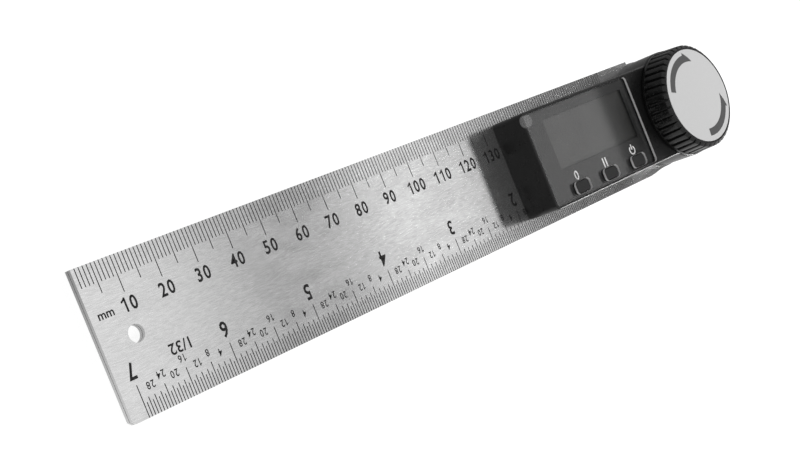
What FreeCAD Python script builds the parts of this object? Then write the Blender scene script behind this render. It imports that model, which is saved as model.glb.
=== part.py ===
import FreeCAD, Part
import math
import os
import re
import Sketcher

# Digital angle rule: two steel blades on one pivot, a readout housing on the upper blade and a lock
# knob over the pivot. X runs from the pivot to the free end, Z up from the lower blade's back face.
SIZES = {
    # Both blades
    "blade_reach": 201.5,
    "blade_width": 34.5,
    "blade_thick": 1.0,
    "hub_step": 0.75,
    "edge_end": 1.5,
    "neck_end": 4.0,
    "neck_run": 5.0,
    "neck_radius": 20.0,
    "corner_cut": 0.8,
    "hang_radius": 2.0,
    "hang_inset": 8.9,
    # Fits shared by the whole part
    "running_gap": 0.05,
    "seat_gap": 0.1,
    "cut_overrun": 1.0,
    # Washer between the blades
    "slip_thick": 0.15,
    "slip_inset": 1.0,
    # Pivot spindle
    "journal_radius": 5.0,
    "groove_depth": 0.5,
    "shaft_step": 1.0,
    "drive_over": 0.3,
    "thread_chamfer": 0.5,
    "thread_short": 0.45,
    # Bearing bush in the upper blade
    "bush_wall": 2.0,
    "bush_collar": 1.6,
    "bush_flange_thick": 0.8,
    # Disc spring and retaining ring over the bush
    "spring_inset": 0.4,
    "spring_rise": 0.25,
    "spring_thick": 0.2,
    "ring_thick": 0.5,
    "ring_cover": 2.2,
    "ring_mouth": 4.0,
    # Encoder rotor
    "rotor_shoulder": 0.5,
    "rotor_hub_wall": 2.0,
    "rotor_side_gap": 2.1,
    "rotor_thick": 0.8,
    "rotor_air_gap": 0.3,
    # Front case
    "case_margin": 3.45,
    "case_wall": 1.1,
    "case_corner": 1.5,
    "case_edge": 0.4,
    "drum_inset": 0.3,
    "drum_blend": 3.0,
    "deck_thick": 1.0,
    "boss_radius": 2.4,
    "boss_inset": 2.0,
    "boss_lead": 3.5,
    "catch_length": 2.0,
    "catch_reach": 0.8,
    "catch_lead": 6.0,
    "catch_tail": 11.5,
    # Window and the printed film under it
    "window_lead": 2.8,
    "window_length": 47.5,
    "window_rim": 0.7,
    "window_side_rim": 0.75,
    "window_thick": 1.2,
    "window_corner": 1.0,
    "film_thick": 0.2,
    # Display
    "view_lead": 3.0,
    "view_tail": 8.1,
    "view_margin": 3.7,
    "view_key_gap": 4.7,
    "glass_border": 1.5,
    "glass_thick": 1.75,
    "glass_gap": 0.4,
    "holder_wall": 0.8,
    "strip_height": 1.4,
    "strip_width": 1.2,
    # Keys
    "key_pitch_share": 0.368,
    "key_margin": 3.2,
    "key_length": 6.0,
    "key_width": 3.2,
    "key_corner": 1.1,
    "key_gap": 0.2,
    "key_sink": 0.3,
    "key_edge": 0.2,
    "key_flange_thick": 0.6,
    "key_flange_reach": 0.8,
    "key_post_radius": 1.1,
    # Push switches under the keys
    "switch_length": 4.0,
    "switch_width": 3.0,
    "switch_height": 1.0,
    "plunger_radius": 0.8,
    "plunger_stand": 0.3,
    "plunger_height": 0.75,
    # Main board
    "board_thick": 0.8,
    "board_side_gap": 0.4,
    "board_end_gap": 0.5,
    "board_hole_gap": 0.5,
    "chip_size": 7.0,
    "chip_height": 1.0,
    # Chassis that holds the cell and carries the board
    "chassis_lead": 0.4,
    "floor_thick": 1.0,
    "well_side_gap": 0.4,
    "well_wall": 1.95,
    "pillar_radius": 1.9,
    "pillar_lead": 0.8,
    "pillar_tail": 1.2,
    "pillar_side_share": 0.25,
    # Coin cell and its contacts
    "cell_height": 3.2,
    "cell_gap": 0.35,
    "cell_face_inset": 1.3,
    "cell_face_step": 0.3,
    "cell_bevel": 0.3,
    "contact_thick": 0.2,
    "leaf_width": 4.0,
    "leaf_length_share": 1.4,
    "rim_contact_width": 2.4,
    "contact_foot": 2.2,
    "contact_space": 1.2,
    # Battery cap and its seal
    "cap_room": 1.6,
    "cap_side_gap": 0.4,
    "cap_recess": 0.05,
    "cap_flange_thick": 0.65,
    "plug_inset": 0.5,
    "plug_rise": 0.85,
    "lug_width": 3.6,
    "lug_height": 0.45,
    "lug_gap": 0.3,
    "lug_count": 3,
    "coin_slot_share": 1.3,
    "coin_slot_width": 1.8,
    "coin_slot_depth": 0.45,
    "seal_width": 0.8,
    # Case and board screws
    "case_screw_radius": 1.0,
    "case_screw_head": 1.9,
    "case_screw_length": 6.0,
    "board_screw_radius": 0.75,
    "board_screw_head": 1.4,
    "board_screw_head_height": 0.8,
    "board_screw_length": 4.0,
    "cross_length_share": 0.95,
    "cross_width_share": 0.25,
    "cross_depth_share": 0.32,
    # Clamp washer sunk in the case top
    "clamp_sink": 1.0,
    "clamp_hole_gap": 0.4,
    "clamp_cover": 5.8,
    "clamp_thick": 0.8,
    # Lock knob and its brass nut
    "knob_lift": 0.3,
    "knob_height": 7.6,
    "knob_inset": 0.2,
    "knob_ring_height": 0.8,
    "knob_ring_step": 0.1,
    "knob_taper": 0.4,
    "knob_edge": 0.35,
    "knob_rim": 1.3,
    "knob_rib_count": 42,
    "knob_groove_width": 0.9,
    "knob_groove_depth": 0.75,
    "knob_skirt": 1.8,
    "knob_cap_thick": 2.65,
    "knob_boss_wall": 2.5,
    "nut_flange_wall": 3.0,
    "nut_wall": 2.0,
    "nut_flange_thick": 1.0,
    "nut_height": 5.0,
    "label_thick": 0.2,
    "label_recess": 0.3,
}

# Sizes that follow from the ones above: what nests in what, and the heights of the stack
NESTED = {
    "flange_radius": "journal_radius + bush_wall",
    "bush_flange_radius": "flange_radius + bush_collar",
    "spring_radius": "bush_flange_radius - spring_inset",
    "ring_radius": "journal_radius + ring_cover",
    "drive_radius": "journal_radius - shaft_step",
    "drive_flat": "drive_radius - shaft_step",
    "thread_radius": "drive_radius - shaft_step",
    "rotor_hub_radius": "drive_radius + rotor_hub_wall",
    "board_hole_radius": "journal_radius + board_hole_gap",
    "clamp_hole_radius": "thread_radius + clamp_hole_gap",
    "clamp_radius": "thread_radius + clamp_cover",
    "nut_flange_radius": "thread_radius + nut_flange_wall",
    "nut_radius": "thread_radius + nut_wall",
    "knob_boss_radius": "nut_radius + knob_boss_wall",
    "hub_radius": "blade_width / 2 - hub_step",
    "drum_radius": "hub_radius - drum_inset",
    "drum_inner": "drum_radius - case_wall",
    "slip_radius": "hub_radius - slip_inset",
    "rotor_radius": "drum_inner - rotor_side_gap",
    "board_ring_radius": "drum_inner - board_end_gap",
    "knob_ring_radius": "drum_radius - knob_inset",
    "knob_land_radius": "knob_ring_radius - knob_ring_step",
    "knob_top_radius": "knob_land_radius - knob_taper",
    "label_radius": "knob_top_radius - knob_edge - knob_rim",
    "case_side": "blade_width / 2 - case_margin",
    "inner_side": "case_side - case_wall",
    "window_near": "drum_radius + window_lead",
    "window_far": "window_near + window_length",
    "window_side": "case_side - window_side_rim",
    "case_end": "window_far + window_rim",
    "boss_side": "inner_side - boss_inset",
    "boss_near": "window_near - boss_lead",
    "boss_far": "case_end - case_wall - boss_inset",
    "catch_near": "window_near + catch_lead",
    "catch_far": "window_far - catch_tail",
    "key_side": "case_side - key_margin",
    "view_near": "window_near + view_lead",
    "view_far": "window_far - view_tail",
    "view_low": "view_margin - case_side",
    "view_high": "key_side - key_width / 2 - view_key_gap",
    "view_middle": "(view_near + view_far) / 2",
    "view_axis": "(view_low + view_high) / 2",
    "key_pitch": "(view_far - view_near) * key_pitch_share",
    "pillar_near": "view_near + pillar_lead",
    "pillar_far": "view_far - pillar_tail",
    "pillar_offset": "(view_high - view_low) * pillar_side_share",
    "well_radius": "inner_side - well_side_gap",
    "cell_radius": "well_radius - well_wall - cell_gap",
    "cell_face_radius": "cell_radius - cell_face_inset",
    "leaf_length": "cell_radius * leaf_length_share",
    "cap_hole_radius": "cell_radius + cap_room",
    "cap_radius": "cap_hole_radius - cap_side_gap",
    "cap_plug_radius": "cell_radius - plug_inset",
    "lug_radius": "cap_radius - seat_gap",
    "coin_slot_length": "cell_radius * coin_slot_share",
    "upper_foot": "blade_thick + slip_thick",
    "upper_top": "upper_foot + blade_thick",
    "bush_top": "upper_top + bush_flange_thick",
    "spring_top": "bush_top + spring_rise + spring_thick",
    "ring_top": "spring_top + ring_thick",
    "rotor_foot": "ring_top + rotor_shoulder",
    "cell_foot": "upper_top + plug_rise",
    "cell_top": "cell_foot + cell_height",
    "board_foot": "cell_top + contact_space",
    "board_top": "board_foot + board_thick",
    "drive_top": "board_top + drive_over",
    "switch_top": "board_top + switch_height",
    "key_foot": "switch_top + plunger_stand",
    "glass_foot": "board_top + strip_height",
    "film_foot": "glass_foot + glass_thick + glass_gap",
    "deck_foot": "film_foot - deck_thick",
    "window_foot": "film_foot + film_thick",
    "case_top": "window_foot + window_thick",
    "case_height": "case_top - upper_top",
    "clamp_foot": "case_top - clamp_sink",
    "clamp_top": "clamp_foot + clamp_thick",
    "nut_top": "clamp_top + nut_height",
    "thread_end": "nut_top - thread_short",
    "knob_foot": "case_top + knob_lift",
}

doc = FreeCAD.newDocument("angle_rule")
sheet = doc.addObject("Spreadsheet::Sheet", "Sizes")
pieces = []
cuts = []


def fill_sheet():
    """One row for each size, and one for each size that follows from others."""
    rows = list(SIZES.items()) + [(name, "=" + text) for name, text in NESTED.items()]
    for row, (name, value) in enumerate(rows, 1):
        sheet.set("A%d" % row, name)
        sheet.set("B%d" % row, str(value))
        sheet.setAlias("B%d" % row, name)
    doc.recompute()


def bound(text):
    """A sum of sizes as the expression that reads them from the sheet."""
    return re.sub(r"[a-z]\w*", lambda word: "Sizes." + word.group(), text)


def new_body(label):
    body = doc.addObject("PartDesign::Body", label)
    body.Label = label
    return body


def place(piece, x="0", y="0", z="0"):
    """Stands a finished piece at its place in the stack and keeps it for the export."""
    for axis, size in zip("xyz", (x, y, z)):
        piece.setExpression("Placement.Base." + axis, bound(size))
    pieces.append(piece)
    return piece


def origin_plane(body, role="XY_Plane"):
    return next(plane for plane in body.Origin.OriginFeatures if plane.Role == role)


def sketch_on(body, role="XY_Plane", level="0"):
    sketch = body.newObject("Sketcher::SketchObject", "Sketch")
    sketch.AttachmentSupport = [(origin_plane(body, role), "")]
    sketch.MapMode = "FlatFace"
    sketch.setExpression("AttachmentOffset.Base.z", bound(level))
    return sketch


def pin(sketch, kind, geometry, end, size):
    """Ties one coordinate of a sketch point to a size."""
    point = sketch.getPoint(geometry, end)
    start = point.x if kind == "DistanceX" else point.y
    index = sketch.addConstraint(Sketcher.Constraint(kind, -1, 1, geometry, end, start))
    sketch.setExpression("Constraints[%d]" % index, bound(size))


def outline(sketch, points):
    """A closed outline of straight lines through points given as pairs of sizes."""
    first = sketch.GeometryCount
    count = len(points)
    corners = []
    for i in range(count):
        turn = 2 * math.pi * i / count
        corners.append(FreeCAD.Vector(math.cos(turn), math.sin(turn), 0))
    for i in range(count):
        sketch.addGeometry(Part.LineSegment(corners[i], corners[(i + 1) % count]), False)
    for i in range(count):
        following = first + (i + 1) % count
        sketch.addConstraint(Sketcher.Constraint("Coincident", first + i, 2, following, 1))
    for i, (x, y) in enumerate(points):
        pin(sketch, "DistanceX", first + i, 1, x)
        pin(sketch, "DistanceY", first + i, 1, y)
    return sketch


def box_outline(sketch, x_low, x_high, y_low, y_high):
    return outline(sketch, [(x_low, y_low), (x_high, y_low), (x_high, y_high), (x_low, y_high)])


def centred_box(sketch, length, width, x="0", y="0"):
    return box_outline(sketch, x + " - (" + length + ") / 2", x + " + (" + length + ") / 2",
                       y + " - (" + width + ") / 2", y + " + (" + width + ") / 2")


def circle(sketch, radius, x="0", y="0"):
    axis = FreeCAD.Vector(0, 0, 1)
    ring = sketch.addGeometry(Part.Circle(FreeCAD.Vector(0, 0, 0), axis, 1), False)
    pin(sketch, "DistanceX", ring, 3, x)
    pin(sketch, "DistanceY", ring, 3, y)
    index = sketch.addConstraint(Sketcher.Constraint("Radius", ring, 1))
    sketch.setExpression("Constraints[%d]" % index, bound(radius))
    return sketch


def circles(sketch, radius, places):
    for x, y in places:
        circle(sketch, radius, x, y)
    return sketch


def pad(body, sketch, height):
    feature = body.newObject("PartDesign::Pad", "Pad")
    feature.Profile = sketch
    feature.setExpression("Length", bound(height))
    return feature


def pocket(body, sketch, depth):
    """Cuts upwards from the sketch."""
    feature = body.newObject("PartDesign::Pocket", "Pocket")
    feature.Profile = sketch
    feature.Reversed = True
    feature.setExpression("Length", bound(depth))
    cuts.append(feature)
    return feature


def turned(body, kind, points):
    """A full turn of an outline of radius and height about the body's Z axis."""
    sketch = outline(sketch_on(body, "XZ_Plane"), points)
    feature = body.newObject("PartDesign::" + kind, kind)
    feature.Profile = sketch
    feature.ReferenceAxis = (sketch, ["V_Axis"])
    feature.Angle = 360
    return feature


def revolve(body, points):
    return turned(body, "Revolution", points)


def groove(body, points):
    feature = turned(body, "Groove", points)
    cuts.append(feature)
    return feature


def ring_copies(body, feature, count):
    """Repeats a feature round the body's Z axis."""
    pattern = body.newObject("PartDesign::PolarPattern", "Ring")
    pattern.Originals = [feature]
    pattern.Axis = (origin_plane(body, "Z_Axis"), [""])
    pattern.Angle = 360
    pattern.setExpression("Occurrences", bound(count))
    body.Tip = pattern
    return pattern


def soften(body, feature, wanted, radius, kind="Fillet"):
    """Rounds or bevels the edges of a feature that pass a test."""
    doc.recompute()
    names = []
    for number, edge in enumerate(feature.Shape.Edges, 1):
        if wanted(edge):
            names.append("Edge%d" % number)
    softened = body.newObject("PartDesign::" + kind, kind)
    softened.Base = (feature, names)
    softened.setExpression("Radius" if kind == "Fillet" else "Size", bound(radius))
    body.Tip = softened
    return softened


def upright(edge):
    ends = edge.Vertexes
    if len(ends) != 2:
        return False
    run = ends[1].Point - ends[0].Point
    return math.hypot(run.x, run.y) < abs(run.z) * edge.Tolerance


def near(edge, x, y):
    """True for an upright edge over a place given in sheet values."""
    point = edge.Vertexes[0].Point
    return upright(edge) and math.hypot(point.x - x, point.y - y) < sheet.running_gap


def at_level(level):
    """A test for edges that lie at one height."""
    return lambda edge: all(abs(end.Point.z - level) < sheet.running_gap for end in edge.Vertexes)


def group(label, members):
    """Puts like pieces into one node as separate solids."""
    for member in members:
        pieces.remove(member)
    bundle = doc.addObject("Part::Compound", label)
    bundle.Label = label
    bundle.Links = members
    pieces.append(bundle)
    return bundle


def washer(label, inner, outer, thick):
    body = new_body(label)
    pad(body, circle(circle(sketch_on(body), outer), inner), thick)
    return body


def case_screw_places():
    return [(x, y) for x in ("boss_near", "boss_far") for y in ("boss_side", "-boss_side")]


def board_screw_places():
    sides = ("view_axis - pillar_offset", "view_axis + pillar_offset")
    return [(x, y) for x in ("pillar_near", "pillar_far") for y in sides]


def key_places():
    return ["(view_middle + key_pitch)", "view_middle", "(view_middle - key_pitch)"]


def blade(label):
    """One steel blade: straight edges, a shallow neck on one side and a round end at the pivot."""
    body = new_body(label)
    strip = outline(sketch_on(body), [
        ("edge_end", "-blade_width / 2"),
        ("blade_reach", "-blade_width / 2"),
        ("blade_reach", "blade_width / 2"),
        ("neck_end + neck_run", "blade_width / 2"),
        ("neck_end", "hub_radius"),
        ("0", "hub_radius"),
        ("0", "0"),
        ("edge_end", "0"),
    ])
    pad(body, strip, "blade_thick")
    feature = pad(body, circle(sketch_on(body), "hub_radius"), "blade_thick")
    half = sheet.blade_width / 2
    start = sheet.neck_end + sheet.neck_run

    def at_neck(edge):
        return near(edge, start, half) or near(edge, sheet.neck_end, sheet.hub_radius)

    def at_corner(edge):
        return near(edge, sheet.blade_reach, half)

    feature = soften(body, feature, at_neck, "neck_radius")
    soften(body, feature, at_corner, "corner_cut", "Chamfer")
    holes = circle(sketch_on(body), "flange_radius")
    circle(holes, "hang_radius", "blade_reach - hang_inset")
    pocket(body, holes, "blade_thick")
    return body


def lower_blade():
    place(blade("lower_blade"))


def upper_blade():
    """The blade under the housing also has the cell's opening and four countersunk holes."""
    body = blade("upper_blade")
    pocket(body, circle(sketch_on(body), "cap_hole_radius", "view_middle"), "blade_thick")
    for x, y in case_screw_places():
        sink = body.newObject("PartDesign::SubtractiveCone", "Countersink")
        sink.AttachmentSupport = [(origin_plane(body), "")]
        sink.MapMode = "FlatFace"
        sink.setExpression("AttachmentOffset.Base.x", bound(x))
        sink.setExpression("AttachmentOffset.Base.y", bound(y))
        sink.setExpression("Radius1", bound("case_screw_head + running_gap"))
        sink.setExpression("Radius2", bound("case_screw_radius + running_gap"))
        sink.setExpression("Height", bound("blade_thick"))
        cuts.append(sink)
    place(body, z="upper_foot")


def pivot_spindle():
    """Turned spindle pressed into the lower blade; it carries the rotor and the knob's thread."""
    body = new_body("pivot_spindle")
    revolve(body, [
        ("0", "0"),
        ("flange_radius", "0"),
        ("flange_radius", "blade_thick"),
        ("journal_radius", "blade_thick"),
        ("journal_radius", "spring_top"),
        ("journal_radius - groove_depth", "spring_top"),
        ("journal_radius - groove_depth", "ring_top"),
        ("journal_radius", "ring_top"),
        ("journal_radius", "rotor_foot"),
        ("drive_radius", "rotor_foot"),
        ("drive_radius", "drive_top"),
        ("thread_radius", "drive_top"),
        ("thread_radius", "thread_end - thread_chamfer"),
        ("thread_radius - thread_chamfer", "thread_end"),
        ("0", "thread_end"),
    ])
    flats = sketch_on(body, level="rotor_foot")
    clear = "(drive_radius + cut_overrun)"
    box_outline(flats, "-" + clear, clear, "drive_flat", clear)
    box_outline(flats, "-" + clear, clear, "-" + clear, "-drive_flat")
    pocket(body, flats, "drive_top - rotor_foot")
    place(body)


def bearing_bush():
    """Flanged bush pressed into the upper blade; the spindle's journal turns in it."""
    body = new_body("bearing_bush")
    bore = "journal_radius + running_gap"
    revolve(body, [
        (bore, "0"),
        ("flange_radius", "0"),
        ("flange_radius", "blade_thick"),
        ("bush_flange_radius", "blade_thick"),
        ("bush_flange_radius", "blade_thick + bush_flange_thick"),
        (bore, "blade_thick + bush_flange_thick"),
    ])
    place(body, z="upper_foot")


def pivot_washers():
    """Slip washer between the blades, disc spring on the bush and retaining ring in its groove."""
    slip = washer("slip_washer", "flange_radius + seat_gap", "slip_radius", "slip_thick")
    place(slip, z="blade_thick")
    spring = new_body("disc_spring")
    inner = "journal_radius + seat_gap"
    revolve(spring, [
        (inner, "spring_rise"),
        ("spring_radius", "0"),
        ("spring_radius", "spring_thick"),
        (inner, "spring_rise + spring_thick"),
    ])
    place(spring, z="bush_top")
    inner = "journal_radius - groove_depth + running_gap"
    ring = washer("retaining_ring", inner, "ring_radius", "ring_thick")
    mouth = box_outline(sketch_on(ring), "0", "ring_radius + cut_overrun",
                        "-ring_mouth / 2", "ring_mouth / 2")
    pocket(ring, mouth, "ring_thick")
    place(ring, z="spring_top")


def encoder_rotor():
    """Disc with a hub that fits the spindle's flats."""
    body = new_body("encoder_rotor")
    rotor_top = "board_foot - rotor_air_gap - rotor_foot"
    pad(body, circle(sketch_on(body), "rotor_hub_radius"), rotor_top)
    disc_foot = rotor_top + " - rotor_thick"
    pad(body, circle(sketch_on(body, level=disc_foot), "rotor_radius"), "rotor_thick")
    slot = centred_box(sketch_on(body), "2 * drive_radius + 2 * running_gap",
                       "2 * drive_flat + 2 * running_gap")
    pocket(body, slot, rotor_top)
    place(body, z="rotor_foot")


def rear_chassis():
    """Moulded floor with the cell's well and four pillars for the board."""
    body = new_body("rear_chassis")
    side = "(inner_side - seat_gap)"
    floor = box_outline(sketch_on(body), "window_near - chassis_lead - view_middle",
                        "case_end - case_wall - seat_gap - view_middle", "-" + side, side)
    pad(body, floor, "floor_thick")
    pad(body, circle(sketch_on(body), "well_radius"), "cell_top - running_gap - upper_top")
    screws = [(x + " - view_middle", y) for x, y in board_screw_places()]
    pad(body, circles(sketch_on(body), "pillar_radius", screws), "board_foot - upper_top")
    pocket(body, circle(sketch_on(body), "cell_radius + cell_gap"), "cell_top - upper_top")
    notches = [("boss_far - view_middle", y) for y in ("boss_side", "-boss_side")]
    pocket(body, circles(sketch_on(body), "boss_radius + lug_gap", notches), "floor_thick")
    threads = sketch_on(body, level="board_top - board_screw_length - upper_top")
    circles(threads, "board_screw_radius + running_gap", screws)
    pocket(body, threads, "board_screw_length")
    cut_cap_track(body)
    slot = box_outline(sketch_on(body, level="plug_rise + lug_gap"), "cell_radius",
                       "well_radius + cut_overrun", "-rim_contact_width / 2 - lug_gap",
                       "rim_contact_width / 2 + lug_gap")
    pocket(body, slot, "board_foot - upper_top - plug_rise - lug_gap")
    place(body, "view_middle", z="upper_top")


def cut_cap_track(body):
    """Track that the cap's lugs turn in, with an entry for each lug."""
    track = "(lug_radius + lug_gap)"
    groove(body, [
        ("cell_radius", "lug_gap"),
        (track, "lug_gap"),
        (track, "plug_rise + lug_gap"),
        ("cell_radius", "plug_rise + lug_gap"),
    ])
    half = "(lug_width / 2 + lug_gap)"
    entry = box_outline(sketch_on(body), "-" + half, half, "-" + track, "-cell_radius")
    ring_copies(body, pocket(body, entry, "lug_gap"), "lug_count")


def front_case():
    """Moulded case: a box that runs into a round drum over the pivot."""
    body = new_body("front_case")
    pad(body, box_outline(sketch_on(body), "0", "case_end", "-case_side", "case_side"), "case_height")
    feature = pad(body, circle(sketch_on(body), "drum_radius"), "case_height")

    def at_end(edge):
        return upright(edge) and edge.Vertexes[0].Point.x > sheet.window_near

    def at_drum(edge):
        return upright(edge) and 0 < edge.Vertexes[0].Point.x < sheet.window_near

    feature = soften(body, feature, at_end, "case_corner")
    feature = soften(body, feature, at_drum, "drum_blend")
    soften(body, feature, at_level(sheet.case_height), "case_edge")
    hollow = box_outline(sketch_on(body), "0", "case_end - case_wall", "-inner_side", "inner_side")
    pocket(body, hollow, "deck_foot - upper_top")
    pocket(body, circle(sketch_on(body), "drum_inner"), "deck_foot - upper_top")
    case_bosses(body)
    window_pocket(body)
    sink = circle(sketch_on(body, level="clamp_foot - upper_top"), "clamp_radius + lug_gap")
    pocket(body, sink, "clamp_sink + cut_overrun")
    pivot_hole = circle(sketch_on(body, level="deck_foot - upper_top"), "clamp_hole_radius")
    pocket(body, pivot_hole, "case_top - deck_foot")
    place(body, z="upper_top")


def case_bosses(body):
    """Screw bosses in the corners and the catches that hold the chassis down."""
    places = case_screw_places()
    pad(body, circles(sketch_on(body), "boss_radius", places), "deck_foot - upper_top")
    catches = sketch_on(body, level="floor_thick")
    tip = "(inner_side - catch_reach)"
    root = "(case_side - case_wall / 2)"
    for x in ("catch_near", "catch_far"):
        box_outline(catches, x, x + " + catch_length", tip, root)
        box_outline(catches, x, x + " + catch_length", "-" + root, "-" + tip)
    pad(body, catches, "board_foot - board_side_gap - upper_top - floor_thick")
    pilots = circles(sketch_on(body), "case_screw_radius + running_gap", places)
    pocket(body, pilots, "case_screw_length")


def window_pocket(body):
    """Recess for the film and the window, and the openings in the deck under it."""
    recess = box_outline(sketch_on(body, level="film_foot - upper_top"), "window_near", "window_far",
                         "-window_side", "window_side")
    feature = pocket(body, recess, "film_thick + window_thick + cut_overrun")
    places = [(x, y) for x in (sheet.window_near, sheet.window_far)
              for y in (-sheet.window_side, sheet.window_side)]
    feature = soften(body, feature, lambda edge: any(near(edge, x, y) for x, y in places),
                     "window_corner")
    deck = sketch_on(body, level="deck_foot - upper_top")
    pocket(body, view_opening(deck, "glass_border + lug_gap"), "deck_thick + cut_overrun")
    key_openings(body, "deck_foot - upper_top", "deck_thick + cut_overrun")


def view_opening(sketch, margin):
    """The visible field's outline, wider by a margin."""
    return box_outline(sketch, "view_near - (" + margin + ")", "view_far + " + margin,
                       "view_low - (" + margin + ")", "view_high + " + margin)


def key_openings(body, level, depth):
    """Three rounded openings that guide the keys."""
    openings = sketch_on(body, level=level)
    for x in key_places():
        centred_box(openings, "key_length + 2 * key_gap", "key_width + 2 * key_gap", x, "key_side")
    feature = pocket(body, openings, depth)
    x_half = sheet.key_length / 2 + sheet.key_gap
    y_half = sheet.key_width / 2 + sheet.key_gap
    corners = []
    for x in (sheet.view_middle + sheet.key_pitch, sheet.view_middle, sheet.view_middle - sheet.key_pitch):
        corners += [(x + a, sheet.key_side + b) for a in (-x_half, x_half) for b in (-y_half, y_half)]
    return soften(body, feature, lambda edge: any(near(edge, x, y) for x, y in corners), "key_corner")


def window_sheet(label, thick, level):
    """A sheet that lies in the window pocket, cut out round the keys."""
    body = new_body(label)
    side = "(window_side - seat_gap)"
    blank = box_outline(sketch_on(body), "window_near + seat_gap", "window_far - seat_gap",
                        "-" + side, side)
    soften(body, pad(body, blank, thick), upright, "window_corner")
    key_openings(body, "0", thick)
    return place(body, z=level)


def display_window():
    window_sheet("display_window", "window_thick", "window_foot")


def printed_film():
    film = window_sheet("printed_film", "film_thick", "film_foot")
    pocket(film, view_opening(sketch_on(film), "0"), "film_thick")


def lcd_glass():
    glass = new_body("lcd_glass")
    pad(glass, view_opening(sketch_on(glass), "glass_border"), "glass_thick")
    place(glass, z="glass_foot")


def lcd_holder():
    """Frame round the glass with a ledge under each short side."""
    holder = new_body("lcd_holder")
    margin = "glass_border + seat_gap"
    rim = view_opening(view_opening(sketch_on(holder), margin + " + holder_wall"), margin)
    pad(holder, rim, "deck_foot - board_top")
    ledges = sketch_on(holder)
    y_low = "view_low - glass_border - seat_gap"
    y_high = "view_high + glass_border + seat_gap"
    for x_low, x_high in (("view_near - glass_border - seat_gap", "view_near - holder_wall"),
                          ("view_far + holder_wall", "view_far + glass_border + seat_gap")):
        box_outline(ledges, x_low, x_high, y_low, y_high)
    pad(holder, ledges, "strip_height")
    place(holder, z="board_top")


def lcd_connectors():
    """Two conductive rubber strips that carry the glass on the board."""
    strips = []
    for low, high in (("view_low - glass_border", "view_low - glass_border + strip_width"),
                      ("view_high + glass_border - strip_width", "view_high + glass_border")):
        strip = new_body("strip")
        ends = box_outline(sketch_on(strip), "view_near + holder_wall", "view_far - holder_wall", low, high)
        pad(strip, ends, "strip_height")
        strips.append(place(strip, z="board_top"))
    group("lcd_connectors", strips)


def main_board():
    """Circuit board that also carries the ring of encoder electrodes round the pivot."""
    body = new_body("main_board")
    side = "(inner_side - board_side_gap)"
    far = "boss_far - boss_radius - board_end_gap"
    pad(body, box_outline(sketch_on(body), "0", far, "-" + side, side), "board_thick")
    pad(body, circle(sketch_on(body), "board_ring_radius"), "board_thick")
    pocket(body, circle(sketch_on(body), "board_hole_radius"), "board_thick")
    notches = [("boss_near", y) for y in ("boss_side", "-boss_side")]
    pocket(body, circles(sketch_on(body), "boss_radius + board_end_gap", notches), "board_thick")
    holes = circles(sketch_on(body), "board_screw_radius + seat_gap", board_screw_places())
    pocket(body, holes, "board_thick")
    place(body, z="board_foot")


def measuring_chip():
    body = new_body("measuring_chip")
    feature = pad(body, centred_box(sketch_on(body), "chip_size", "chip_size"), "chip_height")
    soften(body, feature, at_level(sheet.chip_height), "seat_gap", "Chamfer")
    place(body, "view_middle", "view_axis", "board_top")


def push_switches():
    """Three switches on the board, one under each key."""
    switches = []
    for x in key_places():
        switch = new_body("switch")
        pad(switch, centred_box(sketch_on(switch), "switch_length", "switch_width"), "switch_height")
        bore = circle(sketch_on(switch, level="seat_gap"), "plunger_radius + seat_gap")
        pocket(switch, bore, "switch_height")
        switches.append(place(switch, x, "key_side", "board_top"))
    group("push_switches", switches)


def plunger(name, x):
    body = new_body(name + "_plunger")
    pad(body, circle(sketch_on(body), "plunger_radius"), "plunger_height")
    place(body, x, "key_side", "key_foot - plunger_height")


def button(name, x):
    """Key with a foot on the switch's plunger, a flange under the deck and a rounded cap."""
    body = new_body(name + "_button")
    post = "deck_foot - key_flange_thick - key_foot"
    pad(body, circle(sketch_on(body), "key_post_radius"), post)
    flange = box_outline(sketch_on(body, level=post), "-key_length / 2 - key_flange_reach",
                         "key_length / 2 + key_flange_reach", "-key_width / 2 - key_flange_reach",
                         "key_width / 2")
    pad(body, flange, "key_flange_thick")
    cap = centred_box(sketch_on(body, level="deck_foot - key_foot"), "key_length", "key_width")
    feature = pad(body, cap, "case_top - key_sink - deck_foot")
    x_half = sheet.key_length / 2
    y_half = sheet.key_width / 2
    corners = [(a, b) for a in (-x_half, x_half) for b in (-y_half, y_half)]
    feature = soften(body, feature, lambda edge: any(near(edge, a, b) for a, b in corners), "key_corner")
    soften(body, feature, at_level(sheet.case_top - sheet.key_sink - sheet.key_foot), "key_edge",
           "Chamfer")
    place(body, x, "key_side", "key_foot")


def keys():
    for name, x in zip(("zero", "hold", "power"), key_places()):
        plunger(name, x)
        button(name, x)


def coin_cell():
    body = new_body("coin_cell")
    revolve(body, [
        ("0", "0"),
        ("cell_radius - cell_bevel", "0"),
        ("cell_radius", "cell_bevel"),
        ("cell_radius", "cell_height - cell_face_step - cell_bevel"),
        ("cell_radius - cell_bevel", "cell_height - cell_face_step"),
        ("cell_face_radius", "cell_height - cell_face_step"),
        ("cell_face_radius", "cell_height"),
        ("0", "cell_height"),
    ])
    place(body, "view_middle", z="cell_foot")


def bent_strip(label, points, width):
    """Spring strip of one width, bent along an outline of length and height."""
    body = new_body(label)
    feature = pad(body, outline(sketch_on(body, "XZ_Plane"), points), width)
    feature.Midplane = True
    return body


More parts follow.
